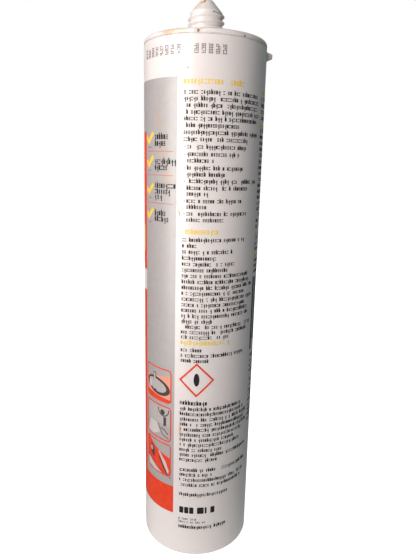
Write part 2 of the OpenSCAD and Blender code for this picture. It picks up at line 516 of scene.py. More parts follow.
# Marks of use: angle from the facing line, height, distance from the axis, half width and
# half height in millimetres, lean in degrees, which colour, and strength.
STAINS = (
    (-29.0, 221.2, 24.2, 5.6, 1.00, 0, "stain", 0.42),
    (-33.0, 221.0, 24.3, 2.2, 0.70, 0, "stain", 0.40),
    (-47.0, 193.0, 24.8, 0.30, 3.6, 18, "stain", 0.30),
    (-42.5, 189.5, 24.8, 0.28, 2.8, 14, "stain", 0.62),
    (-34.5, 183.5, 24.8, 0.22, 3.4, 12, "stain", 0.34),
    (-41.0, 178.0, 24.8, 3.2, 2.2, 0, "stain", 0.12),
    (-33.0, 169.0, 24.8, 2.4, 2.6, 0, "stain", 0.14),
    (-22.6, 158.6, 24.8, 0.34, 3.6, 16, "stain", 0.42),
    (-20.9, 155.7, 24.8, 0.32, 1.2, 16, "stain", 0.80),
    (-20.8, 155.5, 24.8, 0.24, 1.0, 16, "dirt_and_shade", 0.40),
    (-17.3, 62.5, 24.8, 0.42, 3.4, 0, "stain", 0.62),
    (-28.0, 37.7, 24.8, 0.55, 0.5, 0, "dirt_and_shade", 0.55),
    (-14.6, 208.4, 24.8, 0.35, 0.35, 0, "dirt_and_shade", 0.45),
    (-6.0, 221.0, 24.5, 1.5, 0.8, 0, "stain", 0.30),
    (-6.4, 220.7, 24.6, 0.40, 0.50, 0, "dirt_and_shade", 0.85),
    (35.0, 220.4, 24.6, 0.45, 0.35, 0, "dirt_and_shade", 0.75),
    (62.0, 220.4, 24.5, 5.0, 0.7, 0, "stain", 0.26),
    (78.0, 216.9, 26.2, 1.4, 1.3, 0, "stain", 0.30),
    (-48.0, 235.0, 4.4, 1.9, 1.7, 20, "stain", 0.26),
    (-28.0, 236.1, 3.5, 1.0, 0.5, 30, "stain", 0.70),
    (-14.0, 236.5, 2.8, 0.5, 0.7, -10, "stain", 0.80),
    (-13.0, 236.3, 3.0, 0.3, 0.5, -10, "dirt_and_shade", 0.35),
    # The next three darken thin lines just under the cone's base on the right side.
    (27.0, 232.2, 6.4, 0.5, 0.30, 0, "dirt_and_shade", 0.62),
    (45.0, 231.7, 6.6, 1.5, 0.36, -8, "dirt_and_shade", 0.50),
    (66.0, 231.0, 6.8, 1.4, 0.7, 0, "dirt_and_shade", 0.32),
    (-30.0, 222.3, 7.0, 1.3, 0.26, 0, "dirt_and_shade", 0.55),
    (-14.0, 222.3, 7.0, 0.5, 0.26, 0, "dirt_and_shade", 0.45),
)
# How far a stain reaches in and out of the surface, in millimetres, before its own ragged edge.
STAIN_DEPTH = 4


def stain_and_shade_group(look):
    """Lays the stains and specks over a base colour, and darkens a band along the groove towards the dirt
    colour: painted shade that deepens the groove's line, with some dirt. Every finish on the barrel shares
    it.
    """
    tree = bpy.data.node_groups.new("marks_of_use", "ShaderNodeTree")
    for way in ("INPUT", "OUTPUT"):
        tree.interface.new_socket("Color", in_out=way, socket_type="NodeSocketColor")
    colour = tree.nodes.new("NodeGroupInput").outputs[0]
    where = tree.nodes.new("ShaderNodeTexCoord").outputs["Object"]
    ragged = noise(tree, where, 1400.0, 3.0, 0.6)
    blotch = noise(tree, where, 420.0, 2.0)
    wobble = plus(tree, times(tree, ragged, 0.9), times(tree, blotch, 0.9))
    inks = {"stain": (*look.stain, 1), "dirt_and_shade": (*look.dirt_and_shade, 1)}

    # A band along the groove is darkened towards the dirt colour, broken up by the blotch noise: painted
    # shade that deepens the groove's dark line, with some dirt.
    level = add(tree, "ShaderNodeSeparateXYZ", (where,)).outputs[2]
    groove = TIP_Z - (NECK_H + GROOVE_DROP) * MM
    off_groove = sums(tree, "ABSOLUTE", minus(tree, level, groove + 0.05 * MM))
    groove_soil_and_shade = minus(tree, 1.0, sums(tree, "DIVIDE", off_groove, 0.45 * MM), clamp=True)
    colour = mixed(tree, times(tree, groove_soil_and_shade, times(tree, blotch, 0.55)), colour, inks["dirt_and_shade"])

    for angle, z, r, half_w, half_h, lean, ink, strength in STAINS:
        turn, slant = math.radians(FACING + angle), math.radians(lean)
        out_way = Vector((math.cos(turn), math.sin(turn), 0))
        round_way = Vector((-math.sin(turn), math.cos(turn), 0))
        across_way = round_way * math.cos(slant) + Vector((0, 0, math.sin(slant)))
        up_way = Vector((0, 0, math.cos(slant))) - round_way * math.sin(slant)
        off = vectors(tree, "SUBTRACT", where, out_way * r * MM + Vector((0, 0, z * MM)))
        local = combined(tree, *(
            sums(tree, "DIVIDE", vectors(tree, "DOT_PRODUCT", off, way, out=1), reach * MM)
            for way, reach in ((across_way, half_w), (out_way, STAIN_DEPTH), (up_way, half_h))
        ))
        ridge = minus(tree, plus(tree, wobble, 0.55), vectors(tree, "LENGTH", local, out=1))
        mask = sums(tree, "MULTIPLY", ridge, 1.5, clamp=True)
        colour = mixed(tree, times(tree, mask, strength), colour, inks[ink])
    add(tree, "NodeGroupOutput", (colour,))
    graph(tree)
    return tree


def shader(name):
    """A new material, with its tree, its shader node and the object's own coordinates."""
    material = bpy.data.materials.new(name)
    material.use_nodes = True
    tree = material.node_tree
    where = tree.nodes.new("ShaderNodeTexCoord").outputs["Object"]
    return material, tree, tree.nodes["Principled BSDF"], where


def dimmed(colour, *shares):
    """A colour with each channel taken down to its share."""
    return (*(level * share for level, share in zip(colour, shares)), 1)


def stained_and_shaded(tree, surface, stains, colour):
    """Gives the surface a colour, under the marks of use and the painted shade along the groove."""
    worn = add(tree, "ShaderNodeGroup", (colour,), node_tree=stains)
    feed(tree, surface.inputs["Base Color"], worn.outputs[0])


def translucent(surface, weight, radius):
    """Lets light soak a little way into a plastic or paste."""
    surface.inputs["Subsurface Weight"].default_value = weight
    surface.inputs["Subsurface Radius"].default_value = radius
    surface.inputs["Subsurface Scale"].default_value = 2 * MM


def bumped(tree, surface, level, strength, distance):
    """Raises and lowers the surface by a pattern of heights, as bump."""
    bump = add(tree, "ShaderNodeBump", {"Strength": strength, "Distance": distance * MM, "Height": level})
    feed(tree, surface.inputs["Normal"], bump.outputs[0])


def grained(tree, surface, where, height, scale, depth):
    """Fine moulded grain and slow ripples."""
    fine = noise(tree, where, scale, 3.0)
    bumped(tree, surface, plus(tree, times(tree, fine, height), noise(tree, where, 55.0, 1.0)), depth, 0.3)


def barrel_finish(look, stains):
    """Satin off-white polyethylene, a little translucent, slightly uneven in tone and gloss."""
    material, tree, surface, where = shader("barrel_polyethylene")
    tone = noise(tree, where, 26.0, 3.0)
    speckle = noise(tree, where, 900.0, 2.0)
    colour = mixed(tree, tone, (*look.barrel, 1), dimmed(look.barrel, 0.972, 0.975, 0.98))
    colour = mixed(tree, times(tree, speckle, 0.25), colour, dimmed(look.barrel, 0.93, 0.925, 0.915))
    stained_and_shaded(tree, surface, stains, colour)
    scuffs = noise(tree, where, 160.0, 4.0, 0.62)
    gloss = add(tree, "ShaderNodeMapRange", {
        "Value": scuffs, "From Min": 0.35, "From Max": 0.7,
        "To Min": look.roughness - 0.05, "To Max": look.roughness + 0.09,
    })
    feed(tree, surface.inputs["Roughness"], gloss.outputs[0])
    translucent(surface, 0.3, (1.0, 0.95, 0.9))
    surface.inputs["IOR"].default_value = 1.5
    grained(tree, surface, where, 0.25, 2600.0, 0.22)
    graph(tree)
    return material


def ink_finish(name, colour, stains, shine, mottle):
    """Thin semi-gloss printing ink, faintly mottled."""
    material, tree, surface, where = shader(name)
    blotch = noise(tree, where, 340.0, 3.0, 0.6)
    weak = (*(min(1.0, level + (1 - level) * mottle * 0.5) for level in colour), 1)
    strong = dimmed(colour, 1 - mottle, 1 - mottle, 1 - mottle)
    stained_and_shaded(tree, surface, stains, mixed(tree, blotch, weak, strong))
    patchy = add(tree, "ShaderNodeMapRange", {"Value": blotch, "To Min": 0.38, "To Max": 0.50})
    feed(tree, surface.inputs["Roughness"], patchy.outputs[0])
    surface.inputs["Specular IOR Level"].default_value = shine
    grained(tree, surface, where, 0.3, 2200.0, 0.16)
    graph(tree)
    return material


def piston_finish(look):
    """Translucent off-white polyethylene with faint moulding rings."""
    material, tree, surface, where = shader("piston_polyethylene")
    out = vectors(tree, "LENGTH", vectors(tree, "MULTIPLY", where, (1, 1, 0)), out=1)
    rings = sums(tree, "SINE", times(tree, out, 9000.0))
    tone = noise(tree, where, 60.0, 3.0)
    shade = times(tree, plus(tree, tone, times(tree, rings, 0.12)), 0.8)
    colour = mixed(tree, shade, (*look.piston, 1), dimmed(look.piston, 0.86, 0.86, 0.84))
    feed(tree, surface.inputs["Base Color"], colour)
    surface.inputs["Roughness"].default_value = 0.42
    translucent(surface, 0.3, (1.0, 0.95, 0.85))
    grain = noise(tree, where, 1500.0, 2.0)
    bumped(tree, surface, plus(tree, times(tree, rings, 0.4), grain), 0.25, 0.2)
    graph(tree)
    return material


def sealant_finish(look):
    """Smooth glossy paste with slow folds and a few fine bubbles."""
    material, tree, surface, where = shader("sealant_paste")
    tone = noise(tree, where, 70.0, 3.0)
    colour = mixed(tree, tone, (*look.sealant, 1), dimmed(look.sealant, 0.93, 0.93, 0.92))
    feed(tree, surface.inputs["Base Color"], colour)
    surface.inputs["Roughness"].default_value = 0.3
    translucent(surface, 0.35, (1.0, 0.97, 0.9))
    pits = add(tree, "ShaderNodeTexVoronoi", {"Vector": where, "Scale": 260.0}).outputs["Distance"]
    folds = times(tree, noise(tree, where, 120.0, 2.0), 1.4)
    bumped(tree, surface, plus(tree, sums(tree, "MINIMUM", pits, 0.25), folds), 0.3, 0.6)
    graph(tree)
    return material


def finish(name):
    """A material by name, made the first time that it is asked for."""
    found = bpy.data.materials.get(name)
    if found:
        return found
    scene = bpy.context.scene
    plastic, inks = scene.cartridge_plastic, scene.cartridge_print
    # The shared group lays the stains, the specks and the painted shade along the groove.
    stains = bpy.data.node_groups.get("marks_of_use") or stain_and_shade_group(plastic)
    if name == "barrel_polyethylene":
        return barrel_finish(plastic, stains)
    if name == "piston_polyethylene":
        return piston_finish(plastic)
    if name == "sealant_paste":
        return sealant_finish(plastic)
    colour, shine, mottle = INKS[name][1:]
    if isinstance(colour, str):
        colour = getattr(inks, colour)
    return ink_finish(name, colour, stains, shine, mottle)


# ---------------------------------------------------------------- small print, in Geometry Nodes


# A block of dots has this many across and up, a pitch in dot widths and a share of them missing.
DOTS_ACROSS, DOTS_UP, DOT_PITCH, DOTS_MISSING = 3, 6, 1.32, 0.15


def random(tree, given, low, high, offset, kind="FLOAT"):
    """A random value for each point, drawn from the tree's seed."""
    made = tree.nodes.new("FunctionNodeRandomValue")
    made.data_type = kind
    first, result = {"FLOAT": (2, 1), "INT": (4, 2)}[kind]
    made.inputs[first].default_value = low
    made.inputs[first + 1].default_value = high
    feed(tree, made.inputs["Seed"], plus(tree, given["Seed"], offset))
    return made.outputs[result]


def compared(tree, operation, a, b):
    return add(tree, "FunctionNodeCompare", (a, b), data_type="FLOAT", operation=operation).outputs[0]


def realized(tree, geometry):
    return add(tree, "GeometryNodeRealizeInstances", (geometry,)).outputs[0]


def moved(tree, geometry, **how):
    values = {"Geometry": geometry, **{key.capitalize(): value for key, value in how.items()}}
    return add(tree, "GeometryNodeTransform", values).outputs[0]


def mark_shapes(tree, given):
    """The abstract marks that a row picks from, and their count: bars, stacked dashes and a block."""
    height, stroke = given["Mark height"], given["Stroke"]
    width = times(tree, given["Mark spacing"], 0.8)
    side = times(tree, minus(tree, width, stroke), 0.5)
    other_side = times(tree, side, -1.0)
    tall, dash = times(tree, height, 1.4), times(tree, height, 0.24)
    rise, fall = times(tree, height, 0.2), times(tree, height, -0.2)
    third = times(tree, height, 0.37)
    other_third = times(tree, third, -1.0)
    # Each stroke of a mark is its middle across and up, and its width and height.
    marks = (
        ((side, 0, stroke, height), (other_side, rise, stroke, tall)),
        ((side, 0, stroke, height), (other_side, 0, stroke, height)),
        ((0, third, width, dash), (0, 0, width, dash), (0, other_third, width, dash)),
        ((0, 0, times(tree, width, 0.62), height),),
        ((side, fall, stroke, tall), (other_side, 0, stroke, dash)),
        ((0, third, width, dash), (0, other_third, width, dash)),
    )
    shapes = tree.nodes.new("GeometryNodeGeometryToInstance")
    for mark in marks:
        join = tree.nodes.new("GeometryNodeJoinGeometry")
        for x, z, across, up in mark:
            slab = add(tree, "GeometryNodeMeshCube", (combined(tree, across, given["Depth"], up),)).outputs[0]
            tree.links.new(moved(tree, slab, translation=combined(tree, x, 0, z)), join.inputs[0])
        tree.links.new(join.outputs[0], shapes.inputs[0])
    return shapes.outputs[0], len(marks)


def dot_blocks(tree, given, points):
    """A small upright block of dots at each point."""
    stroke, upright = given["Stroke"], (math.pi / 2, 0, 0)
    pitch = times(tree, stroke, DOT_PITCH)
    across, up = times(tree, pitch, DOTS_ACROSS - 1.0), times(tree, pitch, DOTS_UP - 1.0)
    grid = add(tree, "GeometryNodeMeshGrid", (across, up, DOTS_ACROSS, DOTS_UP)).outputs[0]
    grid = moved(tree, grid, rotation=upright)
    blocks = add(tree, "GeometryNodeInstanceOnPoints", {"Points": points, "Instance": grid}).outputs[0]
    missing = compared(tree, "LESS_THAN", random(tree, given, 0.0, 1.0, 3), DOTS_MISSING)
    spots = add(tree, "GeometryNodeDeleteGeometry", {
        "Geometry": realized(tree, blocks), "Selection": missing,
    }, domain="POINT").outputs[0]
    dot = add(tree, "GeometryNodeMeshCylinder", {
        "Vertices": 8, "Radius": times(tree, stroke, 0.5), "Depth": given["Depth"],
    }).outputs[0]
    dot = moved(tree, dot, rotation=upright)
    return add(tree, "GeometryNodeInstanceOnPoints", {"Points": spots, "Instance": dot}).outputs[0]


def laid_round(tree, given, geometry):
    """Bends the flat layout round the barrel, at its lift above the wall."""
    position = tree.nodes.new("GeometryNodeInputPosition").outputs[0]
    x, y, z = add(tree, "ShaderNodeSeparateXYZ", (position,)).outputs
    radius = given["Barrel radius"]
    angle = plus(tree, sums(tree, "DIVIDE", x, radius), given["Facing angle"])
    middle = plus(tree, radius, minus(tree, given["Lift"], times(tree, given["Depth"], 0.5)))
    reach = minus(tree, middle, y)
    ways = [times(tree, reach, sums(tree, kind, angle)) for kind in ("COSINE", "SINE")]
    place = combined(tree, *ways, z)
    return add(tree, "GeometryNodeSetPosition", {"Geometry": geometry, "Position": place}).outputs[0]


def row_tree():
    """Rows of abstract marks laid round the barrel, each row as wide as the flat guide mesh says.

    The guide is one edge for each row, from its left end to its right, in the flat layout.
    With Dots above 0 each mark is a small block of dots instead, with some of them left out."""
    tree = bpy.data.node_groups.new("small_print_rows", "GeometryNodeTree")
    face = tree.interface
    face.new_socket("Geometry", in_out="INPUT", socket_type="NodeSocketGeometry")
    sockets = (
        ("Mark height", 1.25 * MM), ("Mark spacing", 0.9 * MM), ("Stroke", 0.35 * MM),
        ("Gap share", 0.14), ("Lift", 0.03 * MM), ("Depth", 0.05 * MM), ("Dots", 0.0),
        ("Barrel radius", BARREL_R), ("Facing angle", math.radians(FACING)),
    )
    for label, default in sockets:
        made = face.new_socket(label, in_out="INPUT", socket_type="NodeSocketFloat")
        made.default_value = default
    face.new_socket("Seed", in_out="INPUT", socket_type="NodeSocketInt")
    face.new_socket("Ink", in_out="INPUT", socket_type="NodeSocketMaterial")
    face.new_socket("Geometry", in_out="OUTPUT", socket_type="NodeSocketGeometry")
    given = tree.nodes.new("NodeGroupInput").outputs

    curve = add(tree, "GeometryNodeMeshToCurve", {"Mesh": given["Geometry"]}).outputs[0]
    points = add(tree, "GeometryNodeCurveToPoints", {
        "Curve": curve, "Length": given["Mark spacing"],
    }, mode="LENGTH").outputs[0]
    gap = compared(tree, "LESS_THAN", random(tree, given, 0.0, 1.0, 1), given["Gap share"])
    kept = add(tree, "GeometryNodeDeleteGeometry", {
        "Geometry": points, "Selection": gap,
    }, domain="POINT").outputs[0]
    shapes, count = mark_shapes(tree, given)
    placed = add(tree, "GeometryNodeInstanceOnPoints", {
        "Points": kept, "Instance": shapes, "Pick Instance": True,
        "Instance Index": random(tree, given, 0, count - 1, 2, "INT"),
    }).outputs[0]
    picked = tree.nodes.new("GeometryNodeSwitch")
    picked.input_type = "GEOMETRY"
    dotted = compared(tree, "GREATER_THAN", given["Dots"], 0.5)
    for key, value in (("Switch", dotted), ("False", placed), ("True", dot_blocks(tree, given, points))):
        feed(tree, picked.inputs[key], value)
    laid = laid_round(tree, given, realized(tree, picked.outputs[0]))
    inked = add(tree, "GeometryNodeSetMaterial", {"Geometry": laid, "Material": given["Ink"]}).outputs[0]
    add(tree, "NodeGroupOutput", (inked,))
    graph(tree)
    return tree


def printed_rows(rows, inputs, ink):
    """Evaluates the rows tree on one guide edge for each row, and returns its plain mesh."""
    tree = bpy.data.node_groups.get("small_print_rows") or row_tree()
    guide = bmesh.new()
    for left, z, width in rows:
        ends = [guide.verts.new((x * MM, 0, z * MM)) for x in (left, left + width)]
        guide.edges.new(ends)
    mesh = bpy.data.meshes.new("row_guide")
    guide.to_mesh(mesh)
    guide.free()
    holder = bpy.data.objects.new("row_guide", mesh)
    bpy.context.scene.collection.objects.link(holder)
    modifier = holder.modifiers.new("rows", "NODES")
    modifier.node_group = tree
    ids = {item.name: item.identifier for item in tree.interface.items_tree if item.in_out == "INPUT"}
    for label, value in inputs.items():
        modifier[ids[label]] = value
    modifier[ids["Ink"]] = ink
    holder.update_tag()
    bpy.context.view_layer.update()
    evaluated = holder.evaluated_get(bpy.context.evaluated_depsgraph_get())
    made = bpy.data.meshes.new_from_object(evaluated)
    holder.modifiers.remove(modifier)
    bpy.data.objects.remove(holder)
    bpy.data.meshes.remove(mesh)
    return made


def rows_piece(name, ink, *groups):
    """One piece of several groups of rows in one ink; each group is its rows and its tree inputs."""
    bm = bmesh.new()
    for rows, inputs in groups:
        made = printed_rows(rows, inputs, finish(ink))
        bm.from_mesh(made)
        bpy.data.meshes.remove(made)
    if not bm.faces:
        raise RuntimeError(name + ": the rows tree gave no faces")
    bmesh.ops.recalc_face_normals(bm, faces=bm.faces)
    for face in bm.faces:
        face.material_index = 0
    bmesh.ops.scale(bm, vec=(1 / MM,) * 3, verts=bm.verts)
    put(bm, name, finish(ink), "cartridge", 40)


# ---------------------------------------------------------------- operators


class CARTRIDGE_OT_shell(bpy.types.Operator):
    """Builds the barrel with its shoulder, threaded neck, closed cone and lug"""

    bl_idname = "cartridge.shell"
    bl_label = "Barrel and neck"

    def execute(self, context):
        sizes = context.scene.cartridge_sizes
        r, tip = sizes.barrel_r / MM, sizes.tip_z / MM
        neck = (sizes.thread_r - sizes.thread_depth) / MM
        pitch = sizes.thread_pitch / MM
        start = tip - CONE_H - THREAD_BELOW_CONE - pitch * THREAD_TURNS
        bm = bmesh.new()
        turned(bm, barrel_section(sizes), SEGMENTS, thread_reach(neck, sizes.thread_r / MM, pitch, start))
        lug_shell(bm, r, tip - sizes.neck_h / MM - LUG_DROP, sizes.lug_reach / MM)
        piece = put(bm, "cartridge_shell", finish("barrel_polyethylene"), "cartridge")
        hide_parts("cartridge")
        return {"FINISHED"}


class CARTRIDGE_OT_piston(bpy.types.Operator):
    """Builds the cup-shaped piston with its two sealing lips and the bead in its cup"""

    bl_idname = "cartridge.piston"
    bl_label = "Piston"

    def execute(self, context):
        sizes = context.scene.cartridge_piston
        lip, foot = sizes.lip_r / MM, sizes.foot_z / MM
        top = foot + sizes.height / MM
        skirt, cup, crown, corner = lip - 0.7, lip - 1.9, 1.5, 1.2
        floor, brow = top - 1.6, top - crown
        bead, bead_w, bead_h, bead_round = sizes.bead_r / MM, 1.6, 0.8, 0.25
        edge, chamfer = 0.15, 0.12
        section = [(0, top), (lip * 0.5, top)]
        section += arc(lip - crown, brow, crown, 90, 0, 8)
        lip_edge = ((lip, 1.9), (lip - 0.1, 2.0), (skirt + 0.04, 2.72), (skirt, 2.9))
        section += [(r, brow - drop) for r, drop in lip_edge]
        section += [(r, foot + drop) for r, drop in reversed(lip_edge)]
        section += [(lip, foot + edge), (lip - edge, foot), (cup + edge, foot), (cup, foot + edge)]
        section += between((cup, foot), (cup, floor - corner), 6)
        section += arc(cup - corner, floor - corner, corner, 0, 90, 7)
        section += [(bead + chamfer, floor), (bead, floor - chamfer)]
        section += arc(bead - bead_round, floor + bead_round - bead_h, bead_round, 0, -90, 3)
        section += arc(bead - bead_w + bead_round, floor + bead_round - bead_h, bead_round, 270, 180, 3)
        section += [(bead - bead_w, floor - chamfer), (bead - bead_w - chamfer, floor)]
        section += [(bead * 0.5, floor), (0, floor)]
        bm = bmesh.new()
        turned(bm, section)
        piece = put(bm, "piston_cup", finish("piston_polyethylene"), "piston")
        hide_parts("piston")
        return {"FINISHED"}


class CARTRIDGE_OT_fill(bpy.types.Operator):
    """Builds the fill: a column ahead of the piston, and the plug in the neck"""

    bl_idname = "cartridge.fill"
    bl_label = "Fill"

    def execute(self, context):
        sizes = context.scene.cartridge_fill
        r, foot, ceiling = sizes.column_r / MM, sizes.foot_z / MM, sizes.ceiling_z / MM
        edge, corner = 0.3, 1.0
        section = [(0, foot), (r * 0.5, foot), (r - edge, foot)]
        section += arc(r - edge, foot + edge, edge, -90, 0, 4)[1:]
        section += between((r, foot + edge), (r, ceiling - corner), 12)
        section += arc(r - corner, ceiling - corner, corner, 0, 90, 6) + [(r * 0.5, ceiling), (0, ceiling)]
        bm = bmesh.new()
        turned(bm, section, 128)
        column = put(bm, "sealant_column", finish("sealant_paste"), "cartridge")
        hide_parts("sealant")
        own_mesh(column)

        top, plug, overlap = FILL_HIGH.z / MM, sizes.plug_r / MM, 0.05
        cone_r, flat_r, edge = 1.9, 1.762, 0.15
        cone_z = TIP_Z / MM - CONE_H
        section = [(0, ceiling - overlap), (plug, ceiling - overlap), (plug, ceiling + 6), (plug, cone_z)]
        section += [(cone_r, top - edge), (flat_r, top), (0, top)]
        bm = bmesh.new()
        turned(bm, section, 64)
        piece = put(bm, "sealant_plug", finish("sealant_paste"), "cartridge")
        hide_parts("sealant")
        return {"FINISHED"}


class CARTRIDGE_OT_fields(bpy.types.Operator):
    """Prints the large fields of colour: the grey panel and the red front artwork"""

    bl_idname = "cartridge.fields"
    bl_label = "Colour fields"

    def execute(self, context):
        lift = FIELD_LIFT
        edge, side = wide(-23.9), wide(-67.2)
        front, warm = wide(-152.0), wide(-71.5)
        film_piece("grey_panel", "ink_grey", (
            lift, box_face(side, edge, 34.0, 205.5), box_face(front, side, 186.5, 205.5),
        ))
        film_piece("red_field", "ink_red", (
            lift, box_face(front, edge, 20.5, 34.0), box_face(front, side, 34.0, 121.0),
            box_face(front, side, 130.0, 138.0), box_face(front, side, 149.0, 186.5),
            box_face(warm, side, 138.0, 149.0),
        ))
        film_piece("amber_field", "ink_amber", (lift, box_face(front, warm, 138.0, 149.0)))
        return {"FINISHED"}


# Foot and top of each picture's frame, and the heights of the ticks and the thin rules.
FRAMES = ((73.5, 89.0), (55.2, 71.8), (38.0, 54.0))
TICKS = (183.6, 174.7, 163.9, 154.2)
RULES = (178.85, 169.75, 158.8)


class CARTRIDGE_OT_pictures(bpy.types.Operator):
    """Prints the ticks, thin rules, framed pictures and the plain diamond"""

    bl_idname = "cartridge.pictures"
    bl_label = "Ticks, frames and diamond"

    def execute(self, context):
        left, right = wide(-64.0), wide(-27.6)
        outlines = []
        for foot, top in FRAMES:
            outlines += band(round_box(left, right, foot + 0.25, top - 0.25, 1.5)[:-1], 0.58, closed=True)
        diamond = at((-1.6, 93.4), (14.7, 86.3), (-1.6, 79.1), (-17.7, 86.2))
        outlines += band(diamond, 0.75, closed=True)
        film_piece("red_outlines", "ink_red", (FRAME_LIFT, *outlines))
        rules = [box_face(wide(-63.7), wide(-27), z - 0.11, z + 0.11) for z in RULES]
        film_piece("thin_rules", "ink_brick", (RULE_LIFT, *rules))
        ticks = []
        for z in TICKS:
            ticks += band(at((-65.0, z + 0.7), (-61.0, z - 1.3), (-52.4, z + 2.3)), 1.5)
        film_piece("yellow_ticks", "ink_yellow", (TICK_LIFT, *ticks))
        notes = [box_face(wide(-61.5), wide(-55.5), z - 3.3, z - 3.1) for z in TICKS]
        disc = oval(wide(-1.6), 86.4, 1.2, 2.9)
        film_piece("diamond_disc", "ink_dark", (NOTE_LIFT, disc), (NOTE_LIFT, *notes))
        self.pictures(left, right)
        return {"FINISHED"}

    def pictures(self, left, right):
        """Plain shapes inside the frames that stand for a basin, a wedge below a tap, and a slanted tool."""
        inner_l, inner_r = left + 0.3, right - 0.3
        middle = (left + right) / 2
        low, mid, high, top = PICTURE_LIFTS
        film_piece("picture_salmon", "ink_salmon", (
            low, [(inner_l, 76.6), (inner_r, 75.2), (inner_r, 86.3), (inner_l, 83.3)],
        ))
        film_piece(
            "picture_red", "ink_red",
            (low, [(inner_l, 73.9), (inner_r, 73.9), (inner_r, 75.2), (inner_l, 76.6)]),
            (low, at((-63.2, 53.4), (-59.5, 53.3), (-48.1, 50.4), (-48.1, 39.6), (-63.2, 42.6))),
            (low, at((-48.1, 50.4), (-38.3, 48.6), (-28.3, 47.4),
                     (-28.3, 38.6), (-38.3, 38.6), (-48.1, 39.6))),
        )
        film_piece(
            "picture_slate", "ink_slate",
            (mid, oval(middle, 80.2, 7.5, 3.9, -9)),
            (top, oval(middle - 1.0, 77.9, 0.7, 0.35, -9, 12)),
            (high, box_face(wide(-51.8), wide(-47.5), 82.0, 86.0)),
            (mid, *band(arc(wide(-36.8), 69.9, 2.9, 170, 370, 12), 0.5)),
            (high, oval(wide(-37.9), 68.6, 1.3, 1.3, 0, 14)),
            (mid, box_face(wide(-37.4), wide(-33.2), 62.4, 66.6)),
            (high, *band(at((-44.0, 62.4), (-38.0, 58.0), (-30.0, 56.6)), 0.35)),
            (high, *band(at((-40.0, 61.0), (-34.5, 60.2), (-31.0, 58.6)), 0.45)),
            (mid, at((-57.5, 49.4), (-54.6, 50.6), (-50.2, 48.8),
                     (-49.2, 46.2), (-51.4, 43.9), (-56.4, 46.2))),
            (high, *band(at((-42.4, 46.4), (-36.5, 42.4), (-30.6, 38.4)), 0.8)),
            (high, *band(at((-62.0, 43.9), (-56.0, 42.8), (-47.2, 40.9), (-37.4, 38.8)), 0.45)),
        )
        film_piece(
            "picture_mid_grey", "ink_mid_grey",
            (high, oval(middle - 0.4, 80.35, 5.9, 2.75, -9)),
            (high, oval(wide(-55.0), 48.2, 0.9, 1.2, 10, 12)),
            (low, at((-60.0, 71.2), (-29.0, 71.2), (-28.6, 62.6), (-60.0, 62.9))),
        )
        film_piece(
            "picture_pale", "ink_pale",
            (top, oval(middle - 5.0, 79.9, 1.0, 1.7, 20, 14)),
            (top, box_face(wide(-50.8), wide(-48.8), 82.2, 85.6)),
            (high, box_face(wide(-37.4), wide(-36.7), 62.6, 66.4)),
            (mid, at((-61.8, 56.6), (-57.6, 62.8), (-46.0, 62.5), (-41.5, 58.6), (-52.0, 56.0))),
            (top, at((-43.5, 48.8), (-42.5, 49.2), (-33.5, 45.0),
                     (-29.6, 41.0), (-30.3, 38.9), (-36.0, 43.2))),
            (mid, at((-61.2, 43.5), (-56.2, 42.6), (-47.4, 40.8),
                     (-38.0, 38.7), (-50.0, 38.4), (-60.0, 39.8))),
        )


# The left edge of the small print, in degrees from the facing line, and the middle height and the
# width of each row in millimetres.
MAIN_LEFT = -16.9
MAIN_ROWS = (
    (200.0, 31), (197.7, 32), (195.4, 31), (193.0, 32.5), (190.7, 31), (188.3, 21),
    (185.8, 32), (183.3, 25.5),
    (145.3, 26), (142.9, 5), (140.5, 20), (138.0, 13), (135.6, 23), (133.2, 18), (130.8, 29), (128.4, 30),
    (126.0, 33.5), (123.6, 27), (121.2, 33), (118.8, 28), (116.5, 30), (114.1, 30.5), (111.8, 12),
    (109.5, 32.5), (107.2, 31), (105.0, 20.5),
    (99.4, 8), (97.0, 28), (94.7, 11),
    (72.8, 29), (70.4, 30), (67.9, 33), (65.5, 31.5), (63.1, 33), (60.6, 29), (58.2, 26), (55.8, 28),
    (53.3, 19), (50.9, 33), (48.5, 16),
    (43.5, 33), (41.1, 14), (38.6, 32), (36.0, 30),
    (31.2, 22),
)
BULLET_ROWS = (
    (180.6, 23.5), (177.9, 20.0), (175.5, 9.5), (172.8, 22.0), (170.4, 14.0), (167.9, 30.5), (165.3, 25.0),
    (163.1, 9.5), (160.4, 22.0), (158.1, 7.0), (155.5, 26.0), (153.1, 14.0),
)
BULLET_STARTS = (180.6, 177.9, 172.8, 167.9, 160.4, 155.5)
LABEL_ROWS = (
    (184.2, 6.2), (181.7, 5.0), (174.9, 10.0), (172.6, 6.0), (165.7, 9.9), (163.4, 7.4), (161.3, 3.4),
    (154.9, 5.2), (152.5, 6.7),
)


def sized(height, spacing, stroke):
    """The mark sizes of a group of rows, given in millimetres, as inputs of the rows tree."""
    return {"Mark height": height * MM, "Mark spacing": spacing * MM, "Stroke": stroke * MM}


